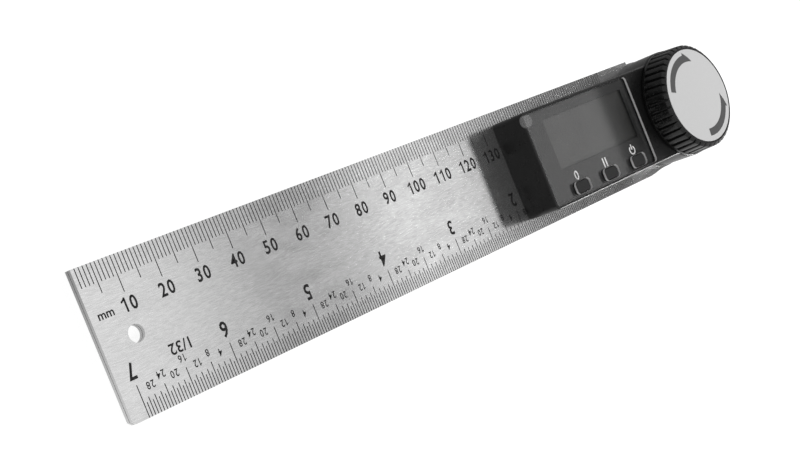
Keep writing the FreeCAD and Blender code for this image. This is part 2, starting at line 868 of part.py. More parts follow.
def cell_contacts():
    """Leaf that presses on the cell's small pole and strip along its rim."""
    half = "(leaf_length / 2)"
    leaf = bent_strip("contact_leaf", [
        ("-" + half, "contact_space"),
        ("-" + half, "contact_space - contact_thick"),
        ("contact_foot - " + half, "contact_space - contact_thick"),
        ("-contact_foot / 2", "0"),
        ("contact_foot / 2", "0"),
        ("contact_foot / 2", "contact_thick"),
        ("-contact_foot / 2", "contact_thick"),
        ("contact_foot - " + half, "contact_space"),
    ], "leaf_width")
    place(leaf, "view_middle", z="cell_top")
    inner = "cell_radius + running_gap"
    top = "cell_height + contact_space"
    rim = bent_strip("contact_strip", [
        (inner, "lug_gap + lug_gap"),
        (inner + " + contact_thick", "lug_gap + lug_gap"),
        (inner + " + contact_thick", top + " - contact_thick"),
        (inner + " + contact_foot", top + " - contact_thick"),
        (inner + " + contact_foot", top),
        (inner, top),
    ], "rim_contact_width")
    place(rim, "view_middle", z="cell_foot")


def battery_cap():
    """Bayonet cap with a coin slot, set in the upper blade over a flat seal."""
    body = new_body("battery_cap")
    rise = "(cell_foot - upper_foot - cap_recess)"
    pad(body, circle(sketch_on(body), "cap_radius"), "cap_flange_thick")
    plug = circle(sketch_on(body, level="cap_flange_thick"), "cap_plug_radius")
    pad(body, plug, rise + " - cap_flange_thick")
    lug = box_outline(sketch_on(body, level=rise + " - lug_height"), "-lug_width / 2", "lug_width / 2",
                      "0", "lug_radius - seat_gap")
    ring_copies(body, pad(body, lug, "lug_height"), "lug_count")
    pocket(body, centred_box(sketch_on(body), "coin_slot_length", "coin_slot_width"), "coin_slot_depth")
    place(body, "view_middle", z="upper_foot + cap_recess")


def battery_seal():
    thick = "blade_thick - cap_recess - cap_flange_thick"
    seal = washer("battery_seal", "cap_radius - seal_width", "cap_radius", thick)
    place(seal, "view_middle", z="upper_top - (" + thick + ")")


def cross_recess(screw, head, level):
    """The driver's cross in a screw's head, cut from the given level up."""
    long = head + " * cross_length_share"
    wide = head + " * cross_width_share"
    for x_size, y_size in ((long, wide), (wide, long)):
        arm = centred_box(sketch_on(screw, level=level), x_size, y_size)
        pocket(screw, arm, head + " * cross_depth_share")


def case_screws():
    """Four countersunk screws through the upper blade into the case's bosses."""
    screws = []
    for x, y in case_screw_places():
        screw = new_body("case_screw")
        revolve(screw, [
            ("0", "0"),
            ("case_screw_head", "0"),
            ("case_screw_radius", "case_screw_head - case_screw_radius"),
            ("case_screw_radius", "case_screw_length"),
            ("0", "case_screw_length"),
        ])
        cross_recess(screw, "case_screw_head", "0")
        screws.append(place(screw, x, y, "upper_foot"))
    group("case_screws", screws)


def board_screws():
    """Four pan-head screws through the board into the chassis."""
    screws = []
    for x, y in board_screw_places():
        screw = new_body("board_screw")
        revolve(screw, [
            ("0", "0"),
            ("board_screw_radius", "0"),
            ("board_screw_radius", "board_screw_length"),
            ("board_screw_head", "board_screw_length"),
            ("board_screw_head", "board_screw_length + board_screw_head_height"),
            ("0", "board_screw_length + board_screw_head_height"),
        ])
        head_top = "board_screw_length + board_screw_head_height"
        cross_recess(screw, "board_screw_head", head_top + " - board_screw_head * cross_depth_share")
        screws.append(place(screw, x, y, "board_top - board_screw_length"))
    group("board_screws", screws)


def clamp_washer():
    place(washer("clamp_washer", "clamp_hole_radius", "clamp_radius", "clamp_thick"), z="clamp_foot")


def knob_nut():
    """Flanged brass nut moulded into the knob."""
    body = new_body("knob_nut")
    bore = "thread_radius + running_gap"
    revolve(body, [
        (bore, "0"),
        ("nut_flange_radius", "0"),
        ("nut_flange_radius", "nut_flange_thick"),
        ("nut_radius", "nut_flange_thick"),
        ("nut_radius", "nut_height"),
        (bore, "nut_height"),
    ])
    place(body, z="clamp_top")


def lock_knob():
    """Knob with a skirt, a boss on the nut, narrow grooves between its ribs and a sunk top."""
    body = new_body("lock_knob")
    seat = "clamp_top + nut_flange_thick - knob_foot"
    nut_roof = "nut_top - knob_foot"
    roof = "knob_height - knob_cap_thick"
    revolve(body, [
        ("knob_boss_radius", seat),
        ("knob_boss_radius", roof),
        ("knob_ring_radius - knob_skirt - knob_edge", roof),
        ("knob_ring_radius - knob_skirt", "0"),
        ("knob_ring_radius", "0"),
        ("knob_ring_radius", "knob_ring_height"),
        ("knob_land_radius", "knob_ring_height"),
        ("knob_top_radius", "knob_height - knob_edge"),
        ("knob_top_radius - knob_edge", "knob_height"),
        ("label_radius + seat_gap", "knob_height"),
        ("label_radius + seat_gap", "knob_height - label_recess"),
        ("0", "knob_height - label_recess"),
        ("0", nut_roof),
        ("nut_radius", nut_roof),
        ("nut_radius", seat),
    ])
    rib_gap = outline(sketch_on(body, level="knob_ring_height"), [
        ("knob_land_radius - knob_groove_depth", "-knob_groove_width / 4"),
        ("knob_ring_radius + cut_overrun", "-knob_groove_width * 5 / 4"),
        ("knob_ring_radius + cut_overrun", "knob_groove_width * 5 / 4"),
        ("knob_land_radius - knob_groove_depth", "knob_groove_width / 4"),
    ])
    ring_copies(body, pocket(body, rib_gap, "knob_height"), "knob_rib_count")
    place(body, z="knob_foot")


def knob_label():
    body = new_body("knob_label")
    pad(body, circle(sketch_on(body), "label_radius"), "label_thick")
    place(body, z="knob_foot + knob_height - label_recess")


def check_model():
    """Stops when an object failed, a cut took nothing away or a piece is no good solid."""
    for thing in doc.Objects:
        if "Invalid" in thing.State or "Error" in thing.State:
            raise RuntimeError(thing.Label + " failed: " + str(thing.State))
    for cut in cuts:
        if not cut.Shape.Volume < cut.BaseFeature.Shape.Volume:
            raise RuntimeError(cut.Label + " in " + cut.getParentGeoFeatureGroup().Label + " cuts nothing")
    for piece in pieces:
        if piece.Shape.isNull() or not piece.Shape.isValid() or not piece.Shape.Solids:
            raise RuntimeError(piece.Label + " is no valid solid")


fill_sheet()
lower_blade()
upper_blade()
pivot_spindle()
bearing_bush()
pivot_washers()
encoder_rotor()
rear_chassis()
front_case()
display_window()
printed_film()
lcd_glass()
lcd_holder()
lcd_connectors()
main_board()
measuring_chip()
push_switches()
keys()
coin_cell()
cell_contacts()
battery_cap()
battery_seal()
case_screws()
board_screws()
clamp_washer()
knob_nut()
lock_knob()
knob_label()
doc.recompute()
check_model()
os.makedirs("parts", exist_ok=True)
for piece in pieces:
    piece.Shape.exportStep("parts/" + piece.Label + ".step")
    box = piece.Shape.BoundBox
    print(piece.Label, len(piece.Shape.Solids), "solids", round(piece.Shape.Volume, 2), "mm3, z",
          round(box.ZMin, 2), round(box.ZMax, 2))
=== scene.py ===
import bmesh
import bpy
import math
from mathutils import Matrix, Vector


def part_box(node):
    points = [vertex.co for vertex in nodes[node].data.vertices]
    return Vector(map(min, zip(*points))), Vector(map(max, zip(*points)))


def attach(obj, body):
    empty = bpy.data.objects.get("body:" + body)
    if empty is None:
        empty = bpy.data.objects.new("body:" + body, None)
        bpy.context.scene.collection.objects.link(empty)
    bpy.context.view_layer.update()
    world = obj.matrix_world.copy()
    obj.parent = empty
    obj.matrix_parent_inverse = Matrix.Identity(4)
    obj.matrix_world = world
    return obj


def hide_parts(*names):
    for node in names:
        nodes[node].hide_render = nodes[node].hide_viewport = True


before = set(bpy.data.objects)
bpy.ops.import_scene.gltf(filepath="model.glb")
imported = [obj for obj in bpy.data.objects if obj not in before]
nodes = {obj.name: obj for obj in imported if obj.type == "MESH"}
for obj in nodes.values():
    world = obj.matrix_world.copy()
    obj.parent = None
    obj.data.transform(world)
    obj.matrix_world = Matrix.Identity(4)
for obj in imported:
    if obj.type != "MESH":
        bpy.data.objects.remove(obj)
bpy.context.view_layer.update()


# The viewpoint: above the free end, looking down along the rule towards the knob.
# Its place and turn were worked out from the scale's ticks and the blade's edges.
eye = Vector((0.34534, -0.00756, 0.25700))
rightward = Vector((-0.67725, 0.37445, 0.63334))
upward = Vector((-0.29679, -0.92670, 0.23052))
backward = Vector((0.67323, -0.03185, 0.73874))
sensor_width = 36
focal_length = 62.6355
near_limit = 0.01
camera = bpy.data.objects.new("camera", bpy.data.cameras.new("camera"))
camera.data.sensor_fit = "HORIZONTAL"
camera.data.sensor_width = sensor_width
camera.data.lens = focal_length
camera.data.clip_start = near_limit
facing_way = Matrix((rightward, upward, backward)).transposed().to_4x4()
camera.matrix_world = Matrix.Translation(eye) @ facing_way
bpy.context.scene.collection.objects.link(camera)
bpy.context.scene.camera = camera
bpy.context.scene.view_settings.view_transform = "Standard"


# The room: an even white surround. Polished metal and clear plastic see it with soft bands,
# as they would between large lamps and the darker gaps beside them. Each band is given by
# how steeply a ray climbs, from level at 0 to straight up at 1, and by its light.
room_light = 0.30
camera_light = 1.0
band_levels = ((0.0, 0.8), (0.50, 0.75), (0.57, 0.05), (0.662, 0.05), (0.688, 0.75),
               (0.705, 1.2), (0.72, 1.75), (0.735, 1.85), (0.75, 1.15), (0.762, 0.05),
               (0.775, 0.0), (0.795, 0.25), (0.82, 0.68), (0.84, 1.07), (0.87, 1.12),
               (0.95, 1.0))
side_start = 0.30
side_end = 0.50
side_light = 0.75
world = bpy.data.worlds.new("room")
bpy.context.scene.world = world
world.use_nodes = True
room = world.node_tree
surround = room.nodes["Background"]
surround.inputs["Color"].default_value = (1, 1, 1, 1)
path = room.nodes.new("ShaderNodeLightPath")
direction = room.nodes.new("ShaderNodeTexCoord")
climb = room.nodes.new("ShaderNodeSeparateXYZ")
bands = room.nodes.new("ShaderNodeValToRGB")
stops = bands.color_ramp.elements
stops[1].position = band_levels[-1][0]
stops[0].color = (*[band_levels[0][1]] * 3, 1)
stops[1].color = (*[band_levels[-1][1]] * 3, 1)
for place, level in band_levels[1:-1]:
    stops.new(place).color = (level, level, level, 1)
sideways = room.nodes.new("ShaderNodeMath")
sideways.operation = "ABSOLUTE"
beside = room.nodes.new("ShaderNodeMapRange")
beside.inputs["From Min"].default_value = side_start
beside.inputs["From Max"].default_value = side_end
along = room.nodes.new("ShaderNodeMix")
along.inputs["B"].default_value = side_light
mirrored = room.nodes.new("ShaderNodeMath")
mirrored.operation = "MAXIMUM"
banded = room.nodes.new("ShaderNodeMix")
banded.inputs["A"].default_value = room_light
seen = room.nodes.new("ShaderNodeMix")
seen.inputs["B"].default_value = camera_light
for giver, taker in (
        (direction.outputs["Generated"], climb.inputs[0]),
        (climb.outputs["Z"], bands.inputs["Fac"]),
        (climb.outputs["Y"], sideways.inputs[0]),
        (sideways.outputs[0], beside.inputs["Value"]),
        (beside.outputs["Result"], along.inputs["Factor"]),
        (bands.outputs["Color"], along.inputs["A"]),
        (path.outputs["Is Glossy Ray"], mirrored.inputs[0]),
        (path.outputs["Is Transmission Ray"], mirrored.inputs[1]),
        (mirrored.outputs[0], banded.inputs["Factor"]),
        (along.outputs["Result"], banded.inputs["B"]),
        (path.outputs["Is Camera Ray"], seen.inputs["Factor"]),
        (banded.outputs["Result"], seen.inputs["A"]),
        (seen.outputs["Result"], surround.inputs["Strength"])):
    room.links.new(giver, taker)


# The lamps: a broad one beyond the knob lights the tops and throws its shadow, and a weak one
# stands off the inch edge. Two more are seen in mirrors: one lies in the window's image, and
# one puts the bright line on the housing's edge. They light only those pieces.
def lamp(name, place, aim, width, depth, power, in_mirrors):
    """A soft rectangular lamp at a place, turned to an aim."""
    light = bpy.data.lights.new(name, "AREA")
    light.shape = "RECTANGLE"
    light.size = width
    light.size_y = depth
    light.energy = power
    holder = bpy.data.objects.new(name, light)
    look = (Vector(aim) - Vector(place)).to_track_quat("-Z", "Y")
    holder.matrix_world = Matrix.Translation(place) @ look.to_matrix().to_4x4()
    holder.visible_glossy = in_mirrors
    holder.visible_transmission = in_mirrors
    if in_mirrors:
        light.cycles.max_bounces = 0
    bpy.context.scene.collection.objects.link(holder)
    return holder


lamp("broad_lamp", place=(-0.50, -0.08, 0.46), aim=(0.06, 0, 0.01), width=0.30, depth=0.30,
     power=4.4, in_mirrors=False)
lamp("front_lamp", place=(0.20, 0.55, 0.60), aim=(0.06, 0, 0.01), width=0.50, depth=0.30,
     power=1.8, in_mirrors=False)
window_lamp = lamp("window_lamp", place=(-0.4492, 0.0, 0.4828), aim=(0.045, 0, 0.013),
                   width=0.36, depth=0.150, power=0.216, in_mirrors=True)
rim_lamp = lamp("rim_lamp", place=(-0.46, 0.39, 0.23), aim=(0.04, 0.014, 0.013),
                width=0.16, depth=0.26, power=4.3, in_mirrors=True)


# The table: a plain pale board with a painted glow. To the camera it glows white, less the
# object's soft shadow. To polished metal its glow is painted light, bright off the inch edge and
# dark off the other.
table_reach = 2.0
table_drop = 0.00002
table_grey = (0.27, 0.27, 0.27, 1)
table_rough = 0.9
table_glow = 0.86
dark_side = -0.03
dark_level = 0.05
bright_side = 0.04
bright_level = 1.0
plane = bmesh.new()
bmesh.ops.create_grid(plane, x_segments=1, y_segments=1, size=table_reach,
                      matrix=Matrix.Translation((0, 0, -table_drop)))
table_mesh = bpy.data.meshes.new("table")
plane.to_mesh(table_mesh)
plane.free()
table = bpy.data.objects.new("table", table_mesh)
bpy.context.scene.collection.objects.link(table)
board = bpy.data.materials.new("pale_board")
board.use_nodes = True
tree = board.node_tree
matt = tree.nodes["Principled BSDF"]
matt.inputs["Base Color"].default_value = table_grey
matt.inputs["Roughness"].default_value = table_rough
matt.inputs["Emission Color"].default_value = (1, 1, 1, 1)
ray = tree.nodes.new("ShaderNodeLightPath")
place_on = tree.nodes.new("ShaderNodeTexCoord")
across = tree.nodes.new("ShaderNodeSeparateXYZ")
# Painted light in mirrors: the board's glow to glossy rays runs from dark on one side to bright
# on the other.
painted_side_glow = tree.nodes.new("ShaderNodeMapRange")
painted_side_glow.inputs["From Min"].default_value = dark_side
painted_side_glow.inputs["From Max"].default_value = bright_side
painted_side_glow.inputs["To Min"].default_value = dark_level
painted_side_glow.inputs["To Max"].default_value = bright_level
glow_share = tree.nodes.new("ShaderNodeMath")
glow_share.operation = "MULTIPLY_ADD"
glow = tree.nodes.new("ShaderNodeMath")
glow.operation = "MULTIPLY"
glow.inputs[1].default_value = table_glow
tree.links.new(place_on.outputs["Object"], across.inputs[0])
tree.links.new(across.outputs["Y"], painted_side_glow.inputs["Value"])
tree.links.new(ray.outputs["Is Glossy Ray"], glow_share.inputs[0])
tree.links.new(painted_side_glow.outputs["Result"], glow_share.inputs[1])
tree.links.new(ray.outputs["Is Camera Ray"], glow_share.inputs[2])
tree.links.new(glow_share.outputs[0], glow.inputs[0])
tree.links.new(glow.outputs[0], matt.inputs["Emission Strength"])
table.data.materials.append(board)


# Both blades: spring-hard stainless strip, ground along its length, edges left sharp. The
# grain shows as fine streaks, and the polish is duller and brighter in wide soft patches.
# The cut edges are a little paler than the faces.
def finish(name, colour, metal, rough, specular=0.5, alpha=1.0):
    """A material whose even values sit on the shader itself."""
    material = bpy.data.materials.new(name)
    material.use_nodes = True
    shader = material.node_tree.nodes["Principled BSDF"]
    shader.inputs["Base Color"].default_value = (*colour, 1)
    shader.inputs["Metallic"].default_value = metal
    shader.inputs["Roughness"].default_value = rough
    shader.inputs["Specular IOR Level"].default_value = specular
    shader.inputs["Alpha"].default_value = alpha
    return material


def grain(material, stretch, detail=2.0):
    """Noise in the piece's own coordinates; stretch gives its cells per metre along each axis."""
    tree = material.node_tree
    coordinate = tree.nodes.new("ShaderNodeTexCoord")
    mapping = tree.nodes.new("ShaderNodeMapping")
    texture = tree.nodes.new("ShaderNodeTexNoise")
    mapping.inputs["Scale"].default_value = stretch
    texture.inputs["Scale"].default_value = 1.0
    texture.inputs["Detail"].default_value = detail
    tree.links.new(coordinate.outputs["Object"], mapping.inputs["Vector"])
    tree.links.new(mapping.outputs["Vector"], texture.inputs["Vector"])
    return texture.outputs["Fac"]


def vary(material, texture, socket, low, high, start=0.3, end=0.7):
    """Moves one number of the shader between two values along a texture."""
    tree = material.node_tree
    step = tree.nodes.new("ShaderNodeMapRange")
    step.inputs["From Min"].default_value = start
    step.inputs["From Max"].default_value = end
    step.inputs["To Min"].default_value = low
    step.inputs["To Max"].default_value = high
    tree.links.new(texture, step.inputs["Value"])
    tree.links.new(step.outputs["Result"], tree.nodes["Principled BSDF"].inputs[socket])


def tint(material, texture, low, high, start=0.3, end=0.7):
    """Moves the colour between two greys or colours along a texture."""
    tree = material.node_tree
    step = tree.nodes.new("ShaderNodeValToRGB")
    step.color_ramp.elements[0].position = start
    step.color_ramp.elements[0].color = (*low, 1)
    step.color_ramp.elements[1].position = end
    step.color_ramp.elements[1].color = (*high, 1)
    tree.links.new(texture, step.inputs["Fac"])
    tree.links.new(step.outputs["Color"], tree.nodes["Principled BSDF"].inputs["Base Color"])


def roughen(material, texture, height, strength=0.5):
    """Raises the surface along a texture, by a height in metres."""
    tree = material.node_tree
    bump = tree.nodes.new("ShaderNodeBump")
    bump.inputs["Distance"].default_value = height
    bump.inputs["Strength"].default_value = strength
    tree.links.new(texture, bump.inputs["Height"])
    tree.links.new(bump.outputs["Normal"], tree.nodes["Principled BSDF"].inputs["Normal"])


def dress(node, material):
    """Gives a solid of the frame its finish."""
    slots = nodes[node].data.materials
    for i in range(len(slots)):
        slots[i] = material


streak_cells = (520, 4300, 4300)
patch_cells = (90, 210, 210)
scratch_cells = (760, 5200, 5200)
scratch_height = 0.0000012
dull_grey = (0.60, 0.60, 0.60, 1)
bright_grey = (0.74, 0.74, 0.74, 1)
dull_share = 0.3
bright_share = 0.7
cut_grey = (0.82, 0.82, 0.82, 1)
ground_steel = finish("ground_steel", (0.66, 0.66, 0.66), 0.88, 0.16)
streaks = grain(ground_steel, streak_cells, 3.0)
vary(ground_steel, grain(ground_steel, patch_cells, 4.0), "Roughness", 0.155, 0.205)
roughen(ground_steel, grain(ground_steel, scratch_cells), scratch_height, 0.12)
tree = ground_steel.node_tree
facing = tree.nodes.new("ShaderNodeTexCoord")
split = tree.nodes.new("ShaderNodeSeparateXYZ")
upright = tree.nodes.new("ShaderNodeMath")
upright.operation = "ABSOLUTE"
face_grey = tree.nodes.new("ShaderNodeValToRGB")
face_grey.color_ramp.elements[0].color = dull_grey
face_grey.color_ramp.elements[1].color = bright_grey
face_grey.color_ramp.elements[0].position = dull_share
face_grey.color_ramp.elements[1].position = bright_share
cut_edge = tree.nodes.new("ShaderNodeMix")
cut_edge.data_type = "RGBA"
first_colour = cut_edge.inputs[6]
second_colour = cut_edge.inputs[7]
mixed_colour = cut_edge.outputs[2]
first_colour.default_value = cut_grey
tree.links.new(facing.outputs["Normal"], split.inputs[0])
tree.links.new(split.outputs["Z"], upright.inputs[0])
tree.links.new(upright.outputs[0], cut_edge.inputs[0])
tree.links.new(streaks, face_grey.inputs["Fac"])
tree.links.new(face_grey.outputs["Color"], second_colour)
tree.links.new(mixed_colour, tree.nodes["Principled BSDF"].inputs["Base Color"])
dress("lower_blade", ground_steel)
dress("upper_blade", ground_steel)


# Scales of both blades: etched and filled black. Millimetres run from the free end along one
# edge and inches in thirty-seconds along the other; both read from the nearer edge.
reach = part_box("upper_blade")[1][0]
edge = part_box("upper_blade")[1][1]
line_width = 0.00022
mark_rise = 0.000008
mark_sink = 0.000004
millimetre = 0.001
mm_count = 185
mm_tick_lengths = {10: 0.00827, 5: 0.00676, 1: 0.0045}
mm_digit = 0.0032
mm_digit_row = -0.00635
mm_digit_weight = 0.022
inch = 0.0254
inch_count = 7
inch_parts = 32
inch_inset = 0.00418
inch_tick_lengths = {32: 0.0073, 16: 0.0064, 8: 0.0052, 2: 0.0041, 1: 0.0032}
inch_digit = 0.00375
inch_digit_row = 0.00685
inch_digit_weight = 0.02
small_digit = 0.0017
small_digit_gap = 0.0021
small_digit_weight = 0.012
small_digit_every = 4
digit_pitch_share = 0.70
digit_narrowing = 0.84
etch = finish("etched_black", (0.012, 0.012, 0.012), 0.0, 0.55, specular=0.2)
tint(etch, grain(etch, (9000, 9000, 9000)), (0.008, 0.008, 0.008), (0.032, 0.032, 0.032))


def largest_step(count, steps):
    """The largest step that divides a count."""
    return max(step for step in steps if count % step == 0)


def thicken(bm, low, high):
    """Turns flat faces into thin closed slabs between two heights."""
    for vertex in bm.verts:
        vertex.co.z = low
    bmesh.ops.recalc_face_normals(bm, faces=bm.faces)
    slab = bmesh.ops.extrude_face_region(bm, geom=bm.faces[:], use_keep_orig=True)
    for piece in slab["geom"]:
        if isinstance(piece, bmesh.types.BMVert):
            piece.co.z = high
    bmesh.ops.recalc_face_normals(bm, faces=bm.faces)


def stroke(bm, x, y_low, y_high, width):
    """One tick as a flat bar."""
    size = Matrix.Diagonal((width, y_high - y_low, 1, 1))
    middle = Matrix.Translation((x, (y_low + y_high) / 2, 0))
    bmesh.ops.create_grid(bm, x_segments=1, y_segments=1, size=0.5, matrix=middle @ size)


def placed(x, y, turned):
    """The move to a place, with half a turn for what reads from the other edge."""
    return Matrix.Translation((x, y, 0)) @ Matrix.Rotation(math.pi if turned else 0, 4, "Z")


def word(text, tall, x, y, turned, weight, narrow=1.0):
    """Characters of a given height, centred on a place, as a flat mesh."""
    letters = bpy.data.curves.new("letters", "FONT")
    letters.body = text
    letters.offset = weight
    letters.resolution_u = 3
    letters.fill_mode = "FRONT"
    carrier = bpy.data.objects.new("letters", letters)
    flat = bpy.data.meshes.new_from_object(carrier)
    bpy.data.objects.remove(carrier)
    bpy.data.curves.remove(letters)
    xs = [vertex.co.x for vertex in flat.vertices]
    ys = [vertex.co.y for vertex in flat.vertices]
    middle = Vector(((min(xs) + max(xs)) / 2, (min(ys) + max(ys)) / 2, 0))
    scale = tall / (max(ys) - min(ys))
    flat.transform(placed(x, y, turned) @ Matrix.Diagonal((scale * narrow, scale, 1, 1))
                   @ Matrix.Translation(-middle))
    return flat


def figure_one(tall, x, y, turned, weight):
    """The figure one: a bar with a flag, in shares of its height."""
    bar = tall * (0.10 + 2.2 * weight)
    bar_shift = tall * 0.08
    flag_rise = tall * 0.30
    flag_size = Matrix.Diagonal((tall * 0.34, bar * 0.85, 1, 1))
    flag_lean = Matrix.Rotation(math.radians(34), 4, "Z")
    flag_place = Matrix.Translation((-bar_shift, flag_rise, 0))
    bm = bmesh.new()
    stroke(bm, bar_shift, -tall / 2, tall / 2, bar)
    bmesh.ops.create_grid(bm, x_segments=1, y_segments=1, size=0.5,
                          matrix=flag_place @ flag_lean @ flag_size)
    bm.transform(placed(x, y, turned))
    flat = bpy.data.meshes.new("one")
    bm.to_mesh(flat)
    bm.free()
    return flat


def numerals(words, text, tall, x, y, turned, weight):
    """Figures set side by side at an even pitch."""
    way = -1 if turned else 1
    for i, figure in enumerate(text):
        place = x + way * (i - (len(text) - 1) / 2) * tall * digit_pitch_share
        if figure == "1":
            words.append(figure_one(tall, place, y, turned, weight))
        else:
            words.append(word(figure, tall, place, y, turned, weight, digit_narrowing))


def print_flat(name, bm, words, top, ink, body):
    """Joins bars and words into one thin print on a surface and lets it ride with its carrier."""
    for flat in words:
        bm.from_mesh(flat)
        bpy.data.meshes.remove(flat)
    bmesh.ops.remove_doubles(bm, verts=bm.verts, dist=0.0000005)
    thicken(bm, top - mark_sink, top + mark_rise)
    mesh = bpy.data.meshes.new(name)
    bm.to_mesh(mesh)
    bm.free()
    mesh.materials.append(ink)
    piece = bpy.data.objects.new(name, mesh)
    bpy.context.scene.collection.objects.link(piece)
    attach(piece, body)


def scale_print(name, top, body):
    """Ticks, numbers and units of one blade."""
    bm = bmesh.new()
    words = [word("mm", tall=0.00135, x=reach - 0.0039, y=-0.0059, turned=True, weight=0.02),
             word("1/32", tall=0.0026, x=reach - 0.0175, y=0.0062, turned=False, weight=0.016)]
    for count in range(1, mm_count + 1):
        x = reach - count * millimetre
        step = largest_step(count, mm_tick_lengths)
        stroke(bm, x, -edge, -edge + mm_tick_lengths[step], line_width)
        if step == 10:
            numerals(words, str(count), mm_digit, x, mm_digit_row, True, mm_digit_weight)
    for count in range(inch_count * inch_parts + 1):
        x = reach - inch_inset - count * inch / inch_parts
        step = largest_step(count, inch_tick_lengths)
        tick = inch_tick_lengths[step]
        stroke(bm, x, edge - tick, edge, line_width)
        whole = inch_count - count // inch_parts
        if step == inch_parts and whole > 0:
            numerals(words, str(whole), inch_digit, x, inch_digit_row, False, inch_digit_weight)
        elif step != inch_parts and count % small_digit_every == 0:
            numerals(words, str(inch_parts - count % inch_parts), small_digit, x,
                     edge - tick - small_digit_gap, False, small_digit_weight)
    print_flat(name, bm, words, top, etch, body)


scale_print("lower_scale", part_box("lower_blade")[1][2], "swing_arm")
scale_print("upper_scale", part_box("upper_blade")[1][2], "housing_arm")


# Pivot: a turned stainless spindle in a bronze bush, a slip washer between the blades, and a
# disc spring under a retaining ring. All of it is turned or stamped and left bright.
turned_steel = finish("turned_steel", (0.60, 0.60, 0.62), 1.0, 0.28)
rings = grain(turned_steel, (900, 900, 9000))
tint(turned_steel, rings, (0.52, 0.52, 0.54), (0.66, 0.66, 0.68))
vary(turned_steel, rings, "Roughness", 0.22, 0.34)
dress("pivot_spindle", turned_steel)
bronze = finish("bush_bronze", (0.58, 0.38, 0.20), 1.0, 0.34)
tint(bronze, grain(bronze, (2500, 2500, 2500), 3.0), (0.48, 0.30, 0.15), (0.64, 0.43, 0.24))
dress("bearing_bush", bronze)
slip = finish("slip_sheet", (0.80, 0.79, 0.74), 0.0, 0.5)
tint(slip, grain(slip, (1500, 1500, 1500)), (0.74, 0.73, 0.68), (0.84, 0.83, 0.79))
dress("slip_washer", slip)
spring_steel = finish("spring_steel", (0.36, 0.37, 0.40), 1.0, 0.33)
spring_grain = grain(spring_steel, (2600, 2600, 2600), 3.0)
tint(spring_steel, spring_grain, (0.28, 0.29, 0.33), (0.42, 0.43, 0.46))
dress("disc_spring", spring_steel)
dress("retaining_ring", spring_steel)


# Housing shells: moulded black plastic. The case is polished in the mould; the floor inside
# keeps the fine texture of an unpolished one.
case_black = finish("polished_black", (0.010, 0.010, 0.010), 0.0, 0.3, specular=0.3)
vary(case_black, grain(case_black, (700, 700, 700), 3.0), "Roughness", 0.26, 0.34)
roughen(case_black, grain(case_black, (420, 420, 420), 1.0), 0.00001, 0.18)
case_grain = grain(case_black, (5200, 5200, 5200))
tint(case_black, case_grain, (0.008, 0.008, 0.008), (0.014, 0.014, 0.014))
dress("front_case", case_black)
chassis_black = finish("textured_black", (0.02, 0.02, 0.02), 0.0, 0.5)
sand = grain(chassis_black, (6500, 6500, 6500))
tint(chassis_black, sand, (0.014, 0.014, 0.014), (0.03, 0.03, 0.03))
roughen(chassis_black, sand, 0.00002, 0.4)
dress("rear_chassis", chassis_black)


# Window: clear sheet glued into the case's top, over a dark grey printed film. Its rim is eased.
# Its cut edges are left matt and look pale through the sheet, above the glue's level. They also
# glow faintly: a painted glow that stands for light carried through the sheet to its edges.
def eased(name, node, body, width, segments, limit, reshape=None):
    """A solid of the frame made again with its sharp edges rounded over a little."""
    level = 0.999
    bm = bmesh.new()
    bm.from_mesh(nodes[node].data)
    bmesh.ops.remove_doubles(bm, verts=bm.verts, dist=0.000001)
    bmesh.ops.dissolve_limit(bm, angle_limit=math.radians(0.5), verts=bm.verts, edges=bm.edges)
    if reshape:
        reshape(bm)
    sharp = [edge for edge in bm.edges
             if edge.is_manifold and edge.calc_face_angle() > math.radians(limit)]
    bmesh.ops.bevel(bm, geom=sharp, offset=width, offset_type="OFFSET", segments=segments,
                    profile=0.5, affect="EDGES", material=-1, clamp_overlap=True)
    bmesh.ops.recalc_face_normals(bm, faces=bm.faces)
    mesh = bpy.data.meshes.new(name)
    bm.to_mesh(mesh)
    bm.free()
    mesh.shade_smooth()
    mesh.set_sharp_from_angle(angle=math.radians(20))
    for face in mesh.polygons:
        if abs(face.normal.z) > level:
            face.use_smooth = False
    piece = bpy.data.objects.new(name, mesh)
    bpy.context.scene.collection.objects.link(piece)
    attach(piece, body)
    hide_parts(node)
    return piece


clear = finish("clear_sheet", (0.10, 0.10, 0.10), 0.0, 0.08, alpha=0.03)
vary(clear, grain(clear, (300, 300, 300)), "Roughness", 0.05, 0.12)
# Painted glow on the cut edges, standing for light carried through the sheet.
painted_edge_glow = 0.06
cut_plastic = finish("cut_plastic", (0.70, 0.70, 0.70), 0.0, 0.6)
cut_shader = cut_plastic.node_tree.nodes["Principled BSDF"]
cut_shader.inputs["Emission Color"].default_value = (1, 1, 1, 1)
cut_shader.inputs["Emission Strength"].default_value = painted_edge_glow
saw = grain(cut_plastic, (400, 400, 6000))
tint(cut_plastic, saw, (0.62, 0.62, 0.62), (0.76, 0.76, 0.76))
air_film = 0.00003
glue_level = 0.01245
side_limit = 0.2


def score(bm):
    """Marks the level up to which the sheet's edge stands in glue."""
    bmesh.ops.bisect_plane(bm, geom=bm.verts[:] + bm.edges[:] + bm.faces[:],
                           plane_co=(0, 0, glue_level), plane_no=(0, 0, 1))


window = eased("window_sheet", "display_window", "housing_arm", width=0.00012, segments=2,
               limit=40, reshape=score)
window.data.materials.append(clear)
window.data.materials.append(cut_plastic)
for face in window.data.polygons:
    is_side = abs(face.normal.z) < side_limit
    face.material_index = 1 if is_side and face.center.z > glue_level else 0
underside = min(vertex.co.z for vertex in window.data.vertices)
for vertex in window.data.vertices:
    if vertex.co.z < underside + air_film:
        vertex.co.z += air_film
film = finish("film_print", (0.038, 0.038, 0.038), 0.0, 0.05)
tint(film, grain(film, (3200, 3200, 3200)), (0.036, 0.036, 0.036), (0.042, 0.042, 0.042))
film_sheet = eased("film_sheet", "printed_film", "housing_arm", width=0.00002, segments=1,
                   limit=40)
film_sheet.data.materials.append(film)
